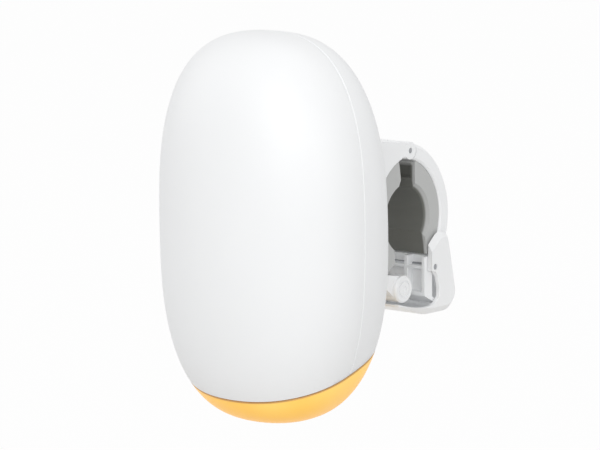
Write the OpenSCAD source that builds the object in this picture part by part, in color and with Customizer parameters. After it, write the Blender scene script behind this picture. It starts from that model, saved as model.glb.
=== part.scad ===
/* [Body] */
// Width of the pebble body
body_w = 80; // [76:1:90]
// Height of the pebble body, lens included
body_h = 130; // [126:1:145]
// Depth of the front shell, ahead of the parting line
front_depth = 30; // [27:0.5:36]
// Depth of the rear shell, behind the parting line
rear_depth = 26.7; // [26:0.1:30]
// Wall of both shells and of the lens
wall = 2.2; // [1.8:0.1:2.6]
// Lens seam: how far below the body's centre it crosses the parting line
seam_drop = 46.4; // [45:0.2:50]
// Lens seam: slope, rising to the rear
seam_angle = 23.6; // [18:0.2:25]
// Gap at the lens seam
seam_gap = 0.3; // [0.2:0.05:0.6]

/* [Clamp] */
// Diameter of the bar that the clamp grips
bar_d = 22.2; // [20:0.1:23]
// Width of the clamp along the bar
clamp_w = 28; // [25:0.5:34]
// Inner radius of the jaw ring
ring_ri = 21; // [20.4:0.1:22]
// Thickness of the jaw ring
ring_t = 5.4; // [4.6:0.1:5.8]
// Distance from the bar's axis to the body's centre, front to back
body_back = 57; // [56:0.5:64]
// Height of the body's centre above the bar's axis
body_rise = 3; // [1:0.5:5]
// Diameter of the hinge and lever pins
pin_d = 2; // [1.6:0.1:2.4]
// Diameter of the catch barrel on the fixed jaw's foot
barrel_d = 9.4; // [8.4:0.1:9.4]
// Wall of the latch lever
lever_wall = 1.7; // [1.4:0.1:2]
// Thickness of the fixed jaw's wall
jaw_wall = 3; // [2.4:0.1:4]
// Thinnest part of the rubber liners
liner_min = 1.2; // [0.8:0.1:1.6]

/* [Controls] */
// Diameter of a button cap
button_d = 8; // [6:0.5:9]
// Spacing of the buttons
button_pitch = 12; // [11:0.5:12.5]
// Travel of a button
button_travel = 0.8; // [0.5:0.1:1]
// Height of a button cap above the skin
button_proud = 0.9; // [0.5:0.1:1.2]

/* [Inside] */
// Diameter of the loudspeaker
speaker_d = 28; // [24:0.5:29]
// Diameter of the battery cell
cell_d = 18.4; // [14:0.1:18.6]
// Length of the battery cell
cell_l = 50; // [40:1:54]
// Thickness of every circuit board
board_t = 1.6; // [1:0.1:2]

/* [Clearances] */
// Clearance between pieces that move past each other
gap = 0.3; // [0.2:0.05:0.4]
// Radial clearance of a pin in the bore that turns on it
run_fit = 0.05; // [0.02:0.01:0.1]
// Radial clearance of a pin or screw in the bore that holds it
fixed_fit = 0.01; // [0.005:0.005:0.02]

/* [Hidden] */
$fn = 64;

// Body form: level superellipse sections, with a front and a rear half of different depth
side_power = 2.74;
front_power = 2.87;
rear_power = 2.27;
front_plan = 2.12;
rear_plan = 3.02;
front_belly = 0.037;
rear_belly = 0.079;
skin_rows = 30;
skin_cols = 48;
core_rows = 18;
core_cols = 30;
post_rows = 12;
post_cols = 24;
body_c = [0, -body_back, body_rise];
seam_z = body_rise - seam_drop;
sheet = 2 * body_h;

// Jaw ring, seen along the bar
ring_y = -3.2;
ring_ro = ring_ri + ring_t;
ring_edge = 1.2;
hinge_angle = 80;
split_angle = 4;
arm_angle = 120;
swing_end = -47;
hinge_r = ring_ri + ring_t / 2;
hinge = [0, ring_y + hinge_r * cos(hinge_angle), hinge_r * sin(hinge_angle)];
knuckle_r = pin_d / 2 + 2;
knuckle_w = clamp_w / 3;
bar_r = bar_d / 2;
wall_y = -bar_r - liner_min;
foot_z = -19;
jaw_corner = [[wall_y, 15.4], [-10.2, 17.4], [-7.7, 19.1], [-4.6, 20.5]];
jaw_top = [[-3.2, 21.5], [-0.9, 26.3], [wall_y - jaw_wall, 28]];

// Catch barrel, straight leg and latch lever
barrel = [0, -4.5, -23.7];
barrel_r = barrel_d / 2;
barrel_l = 8;
barrel_web = [[wall_y - jaw_wall, foot_z + 1.2], [wall_y, foot_z + 1.2],
    [barrel.y + 0.4, barrel.z + barrel_r - 0.4], [barrel.y - 1.6, barrel.z - barrel_r + 0.5],
    [wall_y - jaw_wall, foot_z - 1.5]];
catch_rod_r = 2.2;
cap_t = 1.4;
cap_groove = 0.4;
leg_y0 = 8.8;
leg_y1 = 13;
leg_z0 = -28;
leg_z1 = -14.4;
leg_tail = [[leg_y0, leg_z0 + 0.9], [leg_y0, leg_z0], [15.4, -31.5], [16, -30.7],
    [leg_y1, leg_z0 - 0.7], [leg_y1, leg_z0 + 1]];
rib_t = 1.6;
rung_t = 1.1;
rung_z = -18.2;
side_bay = 5.9;
lever_pivot = [0, 12.3, -18];
lever_boss_r = 3;
lever_in = clamp_w / 2 + gap;
lever_w = 2 * (lever_in + lever_wall);
// Outline circles [y, z, radius] that the lever's shell is drawn round, its mouth and its side window
lever_form = [[18.9, -27.6, 6.9], [9.5, -27, 7.4], [16.9, -11.4, 5.4], [1.5, -26.2, 5.9], [-2.6, -29.9, 1],
    [-8.4, -28.9, 0.5]];
lever_round = 2.6;
lever_mouth = [[-20, -24.5], [-9.4, -28.3], [-3.6, -30.1], [6, -20], [22, -23], [40, -22], [40, 10],
    [-20, 10]];
lever_window = [[10.4, 0], [10.4, -19.3], [12.4, -19.6], [13.6, -21.5], [14.7, -25.5], [14.5, -28.7],
    [12.4, -30.6], [9.4, -31.3], [6.3, -31.4], [1.3, -30.8], [-3.9, -29.7], [-9.4, -28.1], [-20, -24.5],
    [-20, 0]];
liner_flare = 1.8;
liner_inset = 0.7;
recess_end = 2.8;

// Both sides of a list of places [x, z]
function mirrored(places) = [for (p = places) for (s = [-1, 1]) [s * p.x, p.y]];

// Bracket that joins the fixed jaw to the rear shell
rear_y = rear_depth - body_back;
plinth = [34, 0.7, 46];
flange_t = 3;
neck = [22, 0, 34];
bracket_bolts = mirrored([[13, 15], [13, -15]]);
bracket_pilot_d = 2.4;
bracket_bore_d = 3.2;
bracket_head = [5.4, 1.9];
bracket_boss_d = 6.4;
bracket_boss_h = 4;
inner_y = rear_y - wall;
flange_y = rear_y + plinth.y;

// Case screws and posts
low_post_z = -33;
case_places = mirrored([[27, 42], [24, low_post_z]]);
post_r = 3.4;
case_bore_d = 3.2;
case_pilot_d = 2.3;
case_head = [5.4, 2];
head_depth = 7;

// Boards, in places measured from the body's centre
board_back = 15.6;
board_half = 19;
board_top = 22.5;
board_low = -33;
standoffs = mirrored([[16, 19], [16, -27]]);
standoff_r = 2.6;
usb = [8.9, 3.2];
usb_z = -30.2;
cradle_w = 24;
cell_y = 3;
chip_places = [[-6, 8, 9, 9], [6, 6, 5, 6], [-7, -8, 7, 5], [5, -7, 8, 6]];
chip_t = 1.4;

// Light chamber above the lens: its roof lies along the seam and leaves the shells clear all round
reflector_t = 1.8;
reflector_lift = 0.8;
led_board_size = [44, 22];
led_places = [[-16, 0], [-8, 5], [0, -6], [8, 5], [16, 0], [0, 5]];
led_d = 5;

// Loudspeaker behind the upper rear wall
speaker_z = 0.34 * body_h;
speaker_lip = 4.7;
grille_hole_d = 1.8;
grille_pitch = 3.1;
grille_rings = 3;

// Controls on the left side; the key board's lower end stands just above the lower posts
button_y = 8;
key_half = [6, 2 * button_pitch + 4.5];
button_mid = low_post_z + post_r + 1.1 + key_half.y;
switch_t = 3.6;
plunger_t = 1;
key_slack = 0.15;
button_lip_d = button_d + 1.8;
button_lip_t = 0.8;
button_edge = 0.6;
stem_l = 0.5;

// Body surface
function sgn_pow(v, p) = sign(v) * pow(abs(v), p);
function half_width(z, t = 0) =
    (body_w / 2 - t) * pow(1 - pow(abs(z) / (body_h / 2 - t), side_power), 1 / side_power);
function front_reach(z, t = 0) = (front_depth - t) * (1 + front_belly * 2 * z / body_h)
    * pow(1 - pow(abs(z) / (body_h / 2 - t), front_power), 1 / front_power);
function rear_reach(z, t = 0) = (rear_depth - t) * (1 - rear_belly * 2 * z / body_h)
    * pow(1 - pow(abs(z) / (body_h / 2 - t), rear_power), 1 / rear_power);
// Depth of the skin behind (side 1) or ahead (side -1) of the parting plane, at x and z
function skin_y(side, x, z) = let (k = side > 0 ? rear_plan : front_plan)
    side * (side > 0 ? rear_reach(z) : front_reach(z)) * pow(1 - pow(abs(x) / half_width(z), k), 1 / k);
// Distance of the side skin from the middle plane, at y (behind the parting plane) and z
function skin_x(y, z) = half_width(z) * pow(1 - pow(y / rear_reach(z), rear_plan), 1 / rear_plan);

// Places that follow the skin: the loudspeaker's tilt, the screw heads' seats and the buttons' lips,
// which clear the curved inside of the shell at the outermost buttons
speaker_tilt = atan((skin_y(1, 0, speaker_z - 5) - skin_y(1, 0, speaker_z + 5)) / 10);
function head_seat(p) = skin_y(1, abs(p.x) + post_r, p.y) - head_depth;
button_reach = abs(button_mid) + 2 * button_pitch + button_lip_d / 2;
lip_x = skin_x(button_y + button_lip_d / 2, button_reach) - wall - gap;
stem_x = lip_x - button_lip_t - stem_l;
key_board_x = stem_x - button_travel - key_slack - plunger_t - switch_t;

// Point on the body's skin, moved in by t; s is the height angle, q the plan angle
function skin_point(s, q, t) = let (
    z = (body_h / 2 - t) * sgn_pow(sin(s), 2 / side_power),
    k = sin(q) < 0 ? front_plan : rear_plan,
    depth = sin(q) < 0 ? front_reach(z, t) : rear_reach(z, t),
    g = pow(pow(abs(cos(q)), k) + pow(abs(sin(q)), k), -1 / k)
) body_c + [half_width(z, t) * g * cos(q), depth * g * sin(q), z];

module pebble(t, rows, cols) {
    function at(i, j) = 1 + i * cols + j % cols;
    top = at(rows - 1, 0);
    polyhedron(
        concat([body_c - [0, 0, body_h / 2 - t]],
            [for (i = [1:rows - 1]) for (j = [0:cols - 1])
                skin_point(-90 + 180 * i / rows, 360 * j / cols, t)],
            [body_c + [0, 0, body_h / 2 - t]]),
        concat([for (j = [0:cols - 1]) [0, at(0, j), at(0, j + 1)]],
            [for (i = [0:rows - 3]) for (j = [0:cols - 1]) [at(i, j), at(i + 1, j), at(i + 1, j + 1)]],
            [for (i = [0:rows - 3]) for (j = [0:cols - 1]) [at(i, j), at(i + 1, j + 1), at(i, j + 1)]],
            [for (j = [0:cols - 1]) [top, at(rows - 2, j + 1), at(rows - 2, j)]])
    );
}

module yz_plate(w, points) {
    rotate([90, 0, 90]) linear_extrude(w, center = true) polygon(points);
}
module x_rod(d, l, at = [0, 0, 0]) {
    translate(at) rotate([0, 90, 0]) cylinder(d = d, h = l, center = true);
}
// A round bar along Y, from y0 to y1, at x and z
module y_rod(d, x, z, y0, y1) {
    translate([x, y0, z]) rotate([-90, 0, 0]) cylinder(d = d, h = y1 - y0);
}
module block(low, high) {
    translate(low) cube(high - low);
}
module in_body() {
    translate(body_c) children();
}
function arc(c, r, a0, a1, n) = [for (i = [0:n]) let (a = a0 + (a1 - a0) * i / n) c + r * [cos(a), sin(a)]];

// Above (side 1) or below (side -1) the lens seam, moved that way by shift
module seam_side(side, shift = 0) {
    translate([0, 0, side * shift]) at_seam()
        translate([-sheet / 2, -sheet / 2, side > 0 ? 0 : -sheet]) cube(sheet);
}
// Behind (side 1) or ahead of (side -1) the parting plane
module part_side(side) {
    translate([-sheet / 2, -body_back + (side > 0 ? 0 : -sheet), -sheet / 2]) cube(sheet);
}
module hollow_body() {
    difference() {
        pebble(0, skin_rows, skin_cols);
        pebble(wall, core_rows, core_cols);
    }
}
module at_speaker() {
    in_body() translate([0, skin_y(1, 0, speaker_z), speaker_z]) rotate([speaker_tilt, 0, 0]) children();
}
module at_seam() {
    translate([0, -body_back, seam_z]) rotate([seam_angle, 0, 0]) children();
}

module front_shell() color("white") {
    difference() {
        union() {
            intersection() {
                hollow_body();
                part_side(-1);
                seam_side(1, seam_gap / 2);
            }
            intersection() {
                in_body() for (p = case_places) y_rod(2 * post_r, p.x, p.y, -front_depth, -gap / 2);
                pebble(wall / 2, post_rows, post_cols);
            }
        }
        in_body() for (p = case_places) y_rod(case_pilot_d, p.x, p.y, skin_y(-1, p.x, p.y) + 2 * wall, 1);
    }
}

module grille_holes() {
    for (n = [0:grille_rings]) let (holes = max(6 * n, 1)) for (i = [0:holes - 1])
        rotate([0, 360 * i / holes, 0]) y_rod(grille_hole_d, n * grille_pitch, 0, 1.2 - speaker_lip, 3);
}

module rear_shell() color("white") {
    difference() {
        union() {
            intersection() {
                hollow_body();
                part_side(1);
                seam_side(1, seam_gap / 2);
            }
            block([-plinth.x / 2, inner_y, -plinth.z / 2], [plinth.x / 2, flange_y, plinth.z / 2]);
            intersection() {
                in_body() {
                    for (p = case_places) y_rod(2 * post_r, p.x, p.y, gap / 2, rear_depth);
                    for (p = standoffs) y_rod(2 * standoff_r, p.x, p.y, board_back, rear_depth);
                }
                pebble(wall / 2, post_rows, post_cols);
            }
            at_speaker() difference() {
                y_rod(speaker_d + 3, 0, 0, -speaker_lip - 2.5, -wall / 2 - 0.9);
                y_rod(speaker_d + 2 * gap, 0, 0, -sheet, -wall - 0.6);
            }
        }
        in_body() for (p = case_places) {
            y_rod(case_bore_d, p.x, p.y, -1, rear_depth);
            y_rod(case_head.x + 2 * gap, p.x, p.y, head_seat(p), rear_depth);
        }
        in_body() for (p = standoffs) y_rod(case_pilot_d, p.x, p.y, board_back - 1, board_back + 6);
        for (p = bracket_bolts) {
            y_rod(bracket_bore_d, p.x, p.y, inner_y - 1, flange_y + 1);
            y_rod(bracket_head.x + 2 * gap, p.x, p.y, inner_y - 4, inner_y);
        }
        at_speaker() grille_holes();
        in_body() for (i = [-2:2])
            x_rod(button_d + 2 * gap, body_w / 2 - lip_x,
                [-(body_w / 2 + lip_x) / 2, button_y, button_mid + i * button_pitch]);
        in_body() usb_outline(gap, rear_depth - 2 * wall, 2 * wall + 2);
    }
}

// Rounded slot of the charging socket, grown by g, from y0 over length l
module usb_outline(g, y0, l) {
    r = usb.y / 2 + g;
    x = (usb.x - usb.y) / 2;
    for (s = [-1, 1]) y_rod(2 * r, s * x, usb_z, y0, y0 + l);
    block([-x, y0, usb_z - r], [x, y0 + l, usb_z + r]);
}

module light_lens() color([1, 0.76, 0.36]) {
    intersection() {
        hollow_body();
        seam_side(-1, seam_gap / 2);
    }
}

module reflector() color("white") {
    difference() {
        intersection() {
            pebble(wall + gap, 12, 24);
            at_seam() translate([-sheet / 2, -sheet / 2, reflector_lift]) cube([sheet, sheet, reflector_t]);
        }
        at_seam() for (p = led_places) translate([p.x, p.y, 0]) cylinder(d = led_d + 2 * gap, h = 4);
    }
}
module led_board() color([0.1, 0.35, 0.2]) {
    at_seam() translate([-led_board_size.x / 2, -led_board_size.y / 2 - 1, reflector_lift + reflector_t])
        cube([led_board_size.x, led_board_size.y, board_t]);
}
module leds() color([1, 0.85, 0.5]) {
    at_seam() for (p = led_places) translate([p.x, p.y, 0]) {
        translate([0, 0, -2.5]) cylinder(d = led_d, h = 2.5 + reflector_lift + reflector_t);
        translate([0, 0, -2.5]) sphere(d = led_d);
    }
}

module main_board() color([0.1, 0.35, 0.2]) {
    in_body() difference() {
        block([-board_half, board_back - board_t, board_low], [board_half, board_back, board_top]);
        for (p = standoffs) y_rod(case_bore_d, p.x, p.y, board_back - 3, board_back + 1);
    }
}
module board_chips() color([0.12, 0.12, 0.13]) {
    in_body() for (c = chip_places)
        block([c[0] - c[2] / 2, board_back, c[1] - c[3] / 2],
            [c[0] + c[2] / 2, board_back + chip_t, c[1] + c[3] / 2]);
}
module board_screws() color("silver") {
    y = board_back - board_t;
    in_body() for (p = standoffs) {
        y_rod(case_head.x - 0.4, p.x, p.y, y - 1.5, y);
        y_rod(case_pilot_d - 2 * fixed_fit, p.x, p.y, y, board_back + 5);
    }
}
module usb_socket() color("silver") {
    in_body() difference() {
        usb_outline(0, board_back, skin_y(1, 0, usb_z) - 0.5 - board_back);
        block([-usb.x / 2 + 0.9, board_back + 2, usb_z - usb.y / 2 + 0.4],
            [usb.x / 2 - 0.9, rear_depth, usb_z - 0.35]);
        block([-usb.x / 2 + 0.9, board_back + 2, usb_z + 0.35],
            [usb.x / 2 - 0.9, rear_depth, usb_z + usb.y / 2 - 0.4]);
    }
}

module battery_cell() color([0.25, 0.45, 0.7]) {
    in_body() translate([0, cell_y, -cell_l / 2]) {
        cylinder(d = cell_d, h = cell_l - 1);
        cylinder(d = 6, h = cell_l);
    }
}
module battery_cradle() color([0.15, 0.15, 0.16]) {
    y1 = board_back - board_t;
    end = cell_l / 2 + gap;
    in_body() difference() {
        block([-cradle_w / 2, cell_y, -end - 2], [cradle_w / 2, y1, end + 2]);
        translate([0, cell_y, -end]) cylinder(d = cell_d + gap, h = 2 * end);
    }
}

// Loudspeaker: pieces of revolution about the axis through the grille
module speaker_turn(points) {
    at_speaker() rotate([-90, 0, 0]) rotate_extrude() polygon(points);
}
module speaker_basket() color([0.2, 0.2, 0.21]) {
    r = speaker_d / 2;
    z = -speaker_lip - 1;
    speaker_turn([[r, z], [r, z + 1], [r - 2.6, z + 1], [r - 2.6, z - 1], [9, z - 5], [3.4, z - 5],
        [3.4, z - 6], [9.8, z - 6], [r - 1.4, z - 1.4], [r - 1.4, z]]);
}
module speaker_magnet() color([0.45, 0.45, 0.47]) {
    z = -speaker_lip - 7;
    speaker_turn([[2, z - 5], [7.5, z - 5], [7.5, z], [2, z]]);
}
module speaker_cone() color([0.28, 0.27, 0.26]) {
    r = speaker_d / 2 - 2.6 - gap;
    z = -speaker_lip - 1;
    speaker_turn([[0, z - 3.4], [3, z - 4.2], [r, z - 0.3], [r, z + 0.3], [3.4, z - 3.4], [2.2, z - 2.6],
        [0, z - 2.2]]);
}
module speaker_gasket() color([0.1, 0.1, 0.1]) {
    r = speaker_d / 2;
    speaker_turn([[r - 2.2, -speaker_lip], [r, -speaker_lip], [r, -wall - 1.6], [r - 2.2, -wall - 1.6]]);
}

// Buttons slide inwards along X and press the switches on the key board
module button(i) {
    z = button_mid + i * button_pitch;
    lip = lip_x - button_lip_t;
    edge = skin_x(button_y, z) + button_proud - button_edge;
    in_body() translate([0, button_y, z]) rotate([0, -90, 0]) {
        translate([0, 0, stem_x]) cylinder(d = 3, h = lip - stem_x + 1);
        translate([0, 0, lip]) cylinder(d = button_lip_d, h = button_lip_t);
        translate([0, 0, lip]) cylinder(d = button_d, h = edge - lip);
        translate([0, 0, edge]) cylinder(d1 = button_d, d2 = button_d - 1.6, h = button_edge);
    }
}
module power_button() color([0.93, 0.93, 0.92]) button(2);
module play_button() color([0.93, 0.93, 0.92]) button(1);
module light_button() color([0.93, 0.93, 0.92]) button(0);
module volume_up_button() color([0.93, 0.93, 0.92]) button(-1);
module volume_down_button() color([0.93, 0.93, 0.92]) button(-2);

module key_board() color([0.1, 0.35, 0.2]) {
    in_body() block([-key_board_x, button_y - key_half.x, button_mid - key_half.y],
        [-key_board_x + board_t, button_y + key_half.x, button_mid + key_half.y]);
}
module key_switches() color([0.12, 0.12, 0.13]) {
    in_body() for (i = [-2:2])
        translate([-key_board_x, button_y, button_mid + i * button_pitch]) rotate([0, -90, 0]) {
            translate([-3, -3, 0]) cube([6, 6, switch_t]);
            cylinder(d = 3, h = switch_t + plunger_t);
        }
}

module case_screws() color("silver") {
    in_body() for (p = case_places) {
        y_rod(case_head.x, p.x, p.y, head_seat(p), head_seat(p) + case_head.y);
        y_rod(case_pilot_d - 2 * fixed_fit, p.x, p.y, -9, head_seat(p) + 1);
    }
}
module bracket_screws() color("silver") {
    for (p = bracket_bolts) {
        y_rod(bracket_head.x, p.x, p.y, inner_y - bracket_head.y, inner_y);
        y_rod(bracket_pilot_d - 2 * fixed_fit, p.x, p.y, inner_y, flange_y + flange_t + 2.4);
    }
}

module ring_arc(a0, a1) {
    h = clamp_w / 2;
    e = ring_edge;
    translate([0, ring_y, 0]) rotate([90, 0, 90]) rotate([0, 0, a0]) rotate_extrude(angle = a1 - a0)
        polygon([[ring_ri, -h + e / 2], [ring_ri + e / 2, -h], [ring_ro - e, -h], [ring_ro, -h + e],
            [ring_ro, h - e], [ring_ro - e, h], [ring_ri + e / 2, h], [ring_ri, h - e / 2]]);
}
// Hinge knuckles: the fixed jaw has the outer two, the swing jaw the middle one
module outer_knuckles(r, grow = 0) {
    l = knuckle_w - gap / 2 + grow;
    for (s = [-1, 1]) x_rod(2 * r, l, [s * (clamp_w / 2 + grow / 2 - l / 2), hinge.y, hinge.z]);
}
module middle_knuckle(r, grow = 0) {
    x_rod(2 * r, knuckle_w - gap + grow, hinge);
}

module fixed_jaw() color("white") {
    h = clamp_w / 2;
    difference() {
        union() {
            difference() {
                union() {
                    ring_arc(hinge_angle + split_angle, arm_angle);
                    yz_plate(clamp_w,
                        concat([[wall_y - jaw_wall, foot_z], [wall_y, foot_z]], jaw_corner, jaw_top));
                }
                middle_knuckle(knuckle_r + gap, 2 * gap);
            }
            outer_knuckles(knuckle_r);
            block([-neck.x / 2, flange_y, -neck.z / 2], [neck.x / 2, wall_y - 1, neck.z / 2]);
            block([-plinth.x / 2, flange_y, -plinth.z / 2],
                [plinth.x / 2, flange_y + flange_t, plinth.z / 2]);
            for (p = bracket_bolts)
                y_rod(bracket_boss_d, p.x, p.y, flange_y, flange_y + flange_t + bracket_boss_h);
            for (s = [-1, 1]) {
                x_rod(barrel_d, barrel_l, [s * (h - barrel_l / 2), barrel.y, barrel.z]);
                translate([s * (h - barrel_l / 2), 0, 0]) yz_plate(barrel_l, barrel_web);
            }
        }
        x_rod(pin_d + 2 * fixed_fit, 2 * clamp_w, hinge);
        x_rod(2 * catch_rod_r, 2 * clamp_w, barrel);
        for (p = bracket_bolts) y_rod(bracket_pilot_d, p.x, p.y, flange_y - 1, flange_y + flange_t + 2.6);
    }
}
module catch_rod() color("white") {
    x_rod(2 * (catch_rod_r - fixed_fit), clamp_w, barrel);
}
module catch_caps() color("white") {
    low = cap_t - cap_groove;
    for (s = [-1, 1]) translate(barrel) rotate([0, s * 90, 0]) translate([0, 0, clamp_w / 2]) rotate_extrude()
        polygon([[0, 0], [barrel_r, 0], [barrel_r, cap_t - 0.5], [barrel_r - 0.5, cap_t], [3.1, cap_t],
            [3.1, low], [2.4, low], [2.4, cap_t], [1.3, cap_t], [1.3, low], [0, low]]);
}

// Liner: its outline along the bar, bored to the bar's size and flared at both ends
module liner(points) color([0.66, 0.67, 0.69]) {
    w = clamp_w - 2 * liner_inset;
    difference() {
        yz_plate(w, points);
        x_rod(bar_d, 2 * w);
        for (s = [-1, 1]) rotate([0, s * 90, 0]) translate([0, 0, w / 2 - liner_flare])
            cylinder(r1 = bar_r, r2 = bar_r + 1.5 * liner_flare, h = 2 * liner_flare);
    }
}
module fixed_liner() {
    liner(concat(arc([0, 0], bar_r - 0.6, 130, 230, 8), [[-7.2, -10.8], [-6.9, -14.6], [-9, -16.6],
        [wall_y, -17.4]], jaw_corner, [[-4.1, 18.9], [-3.3, 13.9], [-4.6, 11.6]]));
}
module swing_liner() {
    difference() {
        liner(concat(arc([0, 0], bar_r - 0.6, 62, -28, 8), [[10.3, -9.3], [10.9, -13.7]],
            arc([ring_y, 0], ring_ri, -41.5, 68, 22), [[4.2, 18.9], [4.2, 12.4]]));
        block([recess_end - clamp_w / 2, 0, 13.6], [clamp_w / 2 - recess_end, 5.7, 18.4]);
    }
}

module swing_jaw() color("white") {
    h = clamp_w / 2;
    edges = [-h + rib_t, -h + rib_t + side_bay, h - rib_t - side_bay, h - rib_t];
    difference() {
        union() {
            difference() {
                union() {
                    ring_arc(swing_end, hinge_angle - split_angle);
                    block([-h, leg_y0, leg_z0 + 0.5], [h, leg_y1, leg_z1]);
                    yz_plate(clamp_w, leg_tail);
                }
                outer_knuckles(knuckle_r + gap, 2 * gap);
            }
            middle_knuckle(knuckle_r);
            x_rod(2 * lever_boss_r, clamp_w, lever_pivot);
        }
        x_rod(pin_d + 2 * run_fit, 2 * clamp_w, hinge);
        x_rod(pin_d + 2 * fixed_fit, 2 * clamp_w, lever_pivot);
        for (b = [[edges[0], edges[1]], [edges[1] + rib_t, edges[2] - rib_t], [edges[2], edges[3]]]) {
            block([b[0], leg_y0 - 1, rung_z + rung_t / 2], [b[1], leg_y0 + 3.2, leg_z1 + 1]);
            block([b[0], leg_y0 - 1, leg_z0 + rung_t], [b[1], leg_y0 + 2.6, rung_z - rung_t / 2]);
        }
    }
}
module hinge_pin() color("silver") {
    x_rod(pin_d, clamp_w - 0.6, hinge);
}

// Lever outline: a hull of round ends, shrunk by cut, with its edges rounded over the last e of width
module lever_body(cut, w, e) {
    hull() for (p = lever_form) for (k = [0, 0.3, 1])
        x_rod(max(2 * (p[2] - cut - e * (1 - sqrt(1 - k * k * 0.98))), 0.4), w - 2 * e * (1 - k),
            [0, p[0], p[1]], $fn = 32);
}
module latch_lever() color("white") {
    difference() {
        lever_body(0, lever_w, lever_round);
        lever_body(lever_wall, 2 * lever_in, 0);
        yz_plate(2 * lever_in, lever_mouth);
        yz_plate(2 * lever_w, lever_window);
        x_rod(pin_d + 2 * run_fit, 2 * lever_w, lever_pivot);
    }
}
module lever_pin() color("silver") {
    x_rod(pin_d, lever_w - 0.6, lever_pivot);
}

front_shell();
rear_shell();
light_lens();
reflector();
led_board();
leds();
main_board();
board_chips();
board_screws();
usb_socket();
battery_cell();
battery_cradle();
speaker_basket();
speaker_magnet();
speaker_cone();
speaker_gasket();
key_board();
key_switches();
power_button();
play_button();
light_button();
volume_up_button();
volume_down_button();
case_screws();
bracket_screws();
fixed_jaw();
fixed_liner();
catch_rod();
catch_caps();
swing_jaw();
swing_liner();
hinge_pin();
latch_lever();
lever_pin();
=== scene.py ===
import math

import bmesh
import bpy
from mathutils import Matrix, Vector


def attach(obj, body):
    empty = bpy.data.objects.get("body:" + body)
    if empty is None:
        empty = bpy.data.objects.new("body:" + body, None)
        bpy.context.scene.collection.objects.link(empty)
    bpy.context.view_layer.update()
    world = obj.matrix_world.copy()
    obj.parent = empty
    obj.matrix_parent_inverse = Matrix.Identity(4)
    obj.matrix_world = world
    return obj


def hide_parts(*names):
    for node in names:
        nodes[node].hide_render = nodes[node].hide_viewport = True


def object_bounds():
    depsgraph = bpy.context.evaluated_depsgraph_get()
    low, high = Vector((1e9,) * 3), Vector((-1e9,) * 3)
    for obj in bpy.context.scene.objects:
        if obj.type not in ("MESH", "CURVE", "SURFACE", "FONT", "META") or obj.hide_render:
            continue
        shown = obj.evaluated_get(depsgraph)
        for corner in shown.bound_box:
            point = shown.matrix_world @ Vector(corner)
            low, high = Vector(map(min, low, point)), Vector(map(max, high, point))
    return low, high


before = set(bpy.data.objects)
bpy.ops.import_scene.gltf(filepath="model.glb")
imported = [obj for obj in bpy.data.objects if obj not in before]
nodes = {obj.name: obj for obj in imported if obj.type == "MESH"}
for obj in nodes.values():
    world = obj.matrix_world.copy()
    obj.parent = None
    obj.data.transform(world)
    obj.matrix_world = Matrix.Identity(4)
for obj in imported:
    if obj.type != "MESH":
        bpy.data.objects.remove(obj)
cad_low, cad_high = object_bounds()


# Camera. It stands a little over a metre away and slightly above the pebble's middle, turned so that it sees the
# front, the +X side and the clamp behind. The long lens keeps the sides almost parallel.
MM = 0.001  # sizes are in millimetres, unless a comment says otherwise
BODY_CENTRE = Vector((0, -57, 3)) * MM  # the pebble's middle; the bar's axis is the origin
CAMERA_TURN = math.radians(40.119)
CAMERA_LIFT = math.radians(8.749)
CAMERA_ROLL = math.radians(0.409)
CAMERA_DISTANCE = 1.0959  # metres
SENSOR_WIDTH_MM, LENS_MM = 36, 198.87
camera = bpy.data.objects.new("camera", bpy.data.cameras.new("camera"))
bpy.context.scene.collection.objects.link(camera)
bpy.context.scene.camera = camera
bpy.context.scene.view_settings.view_transform = "Standard"
camera.data.sensor_width = SENSOR_WIDTH_MM
camera.data.lens = LENS_MM
camera.data.shift_x = 0.05
camera.data.shift_y = 0.0026
camera.data.clip_start = 0.01
camera.data.clip_end = 50
back = Vector((
    math.sin(CAMERA_TURN) * math.cos(CAMERA_LIFT),
    -math.cos(CAMERA_TURN) * math.cos(CAMERA_LIFT),
    math.sin(CAMERA_LIFT),
))
camera.rotation_mode = "QUATERNION"
camera.location = BODY_CENTRE + back * CAMERA_DISTANCE
aim = (-back).to_track_quat("-Z", "Y").to_matrix() @ Matrix.Rotation(-CAMERA_ROLL, 3, "Z")
camera.rotation_quaternion = aim.to_quaternion()


# Studio. A pale matt floor and a white room, lit by large soft panels. What the camera sees behind the
# object is plain white, and the floor keeps the shadow. The lengths here are in metres.
FLOOR_DROP, FLOOR_SIZE = 0.035, 6.0
FLOOR_PATCHES = 6.0  # mottles in a metre
FLOOR_COLOUR, FLOOR_PALE = "#D2D2D1", "#DADADA"
FLOOR_WHITE_SHARE = 0.97  # the rest is the painted floor, with its shadow
ROOM_LIGHT = 0.7
PANELS = (  # name, place, width, watts
    ("key_panel", (0.52, -1.08, 0.5), 0.8, 4.9),
    ("left_panel", (-1.2, -0.5, 0.5), 0.8, 1.1),
    ("right_panel", (1.1, -0.5, 0.15), 0.7, 1.8),
    ("top_panel", (0.1, 0.1, 1.4), 0.9, 0.8),
)


def linear(colour):
    """The linear RGBA of an sRGB hex colour."""
    parts = [int(colour[i:i + 2], 16) / 255 for i in (1, 3, 5)]
    return [c / 12.92 if c <= 0.04045 else ((c + 0.055) / 1.055) ** 2.4 for c in parts] + [1.0]


def add(tree, kind, settings=None, links=None):
    """Adds a node of that kind, with its properties or socket values set and its inputs linked."""
    node = tree.nodes.new(kind)
    for key, value in (settings or {}).items():
        if isinstance(key, str) and key in node.bl_rna.properties:
            setattr(node, key, value)
        else:
            node.inputs[key].default_value = value
    for key, socket in (links or {}).items():
        tree.links.new(socket, node.inputs[key])
    return node


def new_material(name):
    """An empty material of that name, and its node tree."""
    material = bpy.data.materials.new(name)
    material.use_nodes = True
    material.node_tree.nodes.clear()
    return material, material.node_tree


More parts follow.
